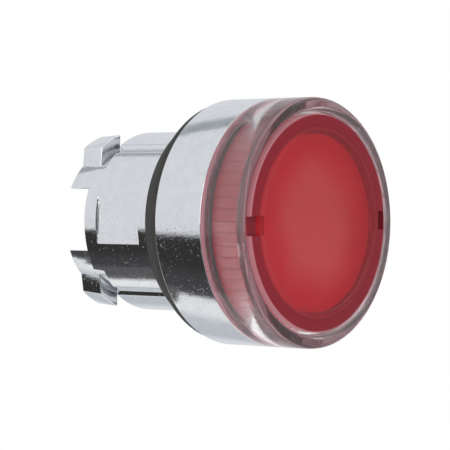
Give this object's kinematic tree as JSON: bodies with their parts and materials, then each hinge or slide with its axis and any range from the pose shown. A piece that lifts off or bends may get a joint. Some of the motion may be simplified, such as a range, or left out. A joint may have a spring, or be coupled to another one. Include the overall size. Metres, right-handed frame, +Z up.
{
  "type": "illuminated push button head",
  "caption": "Flush illuminated push button head: chrome bezel and bayonet tube, clear guard ring, red lens on a sprung plunger, rubber panel gasket.",
  "frame": {"origin": "centre of the panel's front face, in the plane where the gasket's rear lip seats, on the push axis", "axes": "+Y along the push axis towards the contact side, the lens faces -Y, +Z up when mounted, +X to the right of someone facing the lens"},
  "size_m": [0.0292, 0.0324, 0.0292],
  "materials": {
    "chrome": "bright chrome plate on die-cast zinc",
    "clear_plastic": "clear polished polycarbonate",
    "red_lens": "translucent red polycarbonate, gloss",
    "dark_rubber": "matt dark grey elastomer",
    "spring_steel": "bright spring steel",
    "white_plastic": "white moulded polyamide",
    "grey_plastic": "grey moulded acetal",
    "opal_plastic": "opal diffusing film"
  },
  "bodies": {
    "housing": {"housing": "chrome", "guard_ring": "clear_plastic", "guard_ring_seal": "dark_rubber", "panel_gasket": "dark_rubber", "guide_bush": "grey_plastic", "spring_seat_washer": "spring_steel", "bush_snap_ring": "spring_steel", "return_buffer": "dark_rubber", "return_spring": "spring_steel"},
    "plunger": {"lens_carrier": "white_plastic", "lens_o_ring": "dark_rubber", "legend_disc": "opal_plastic", "diffuser_disc": "clear_plastic", "plunger_wiper_seal": "dark_rubber", "plunger_sleeve": "white_plastic", "carrier_lock_ring": "spring_steel", "spring_front_washer": "spring_steel", "light_guide": "clear_plastic", "light_guide_clip": "spring_steel", "pusher_ring": "grey_plastic", "pusher_clip": "spring_steel"},
    "lens": {"lens_cap": "red_lens"}
  },
  "joints": [
    {"name": "press_slide", "type": "slide", "parent": "housing", "child": "plunger", "axis": [0, 1, 0], "range_m": [0, 0.0043], "stiffness_N_per_m": 700, "springref_m": -0.003, "deforming": ["return_spring"]},
    {"name": "lens_turn", "type": "hinge", "parent": "plunger", "child": "lens", "pos_m": [0, -0.0142, 0], "axis": [0, 1, 0], "range_deg": [-30, 0]}
  ]
}
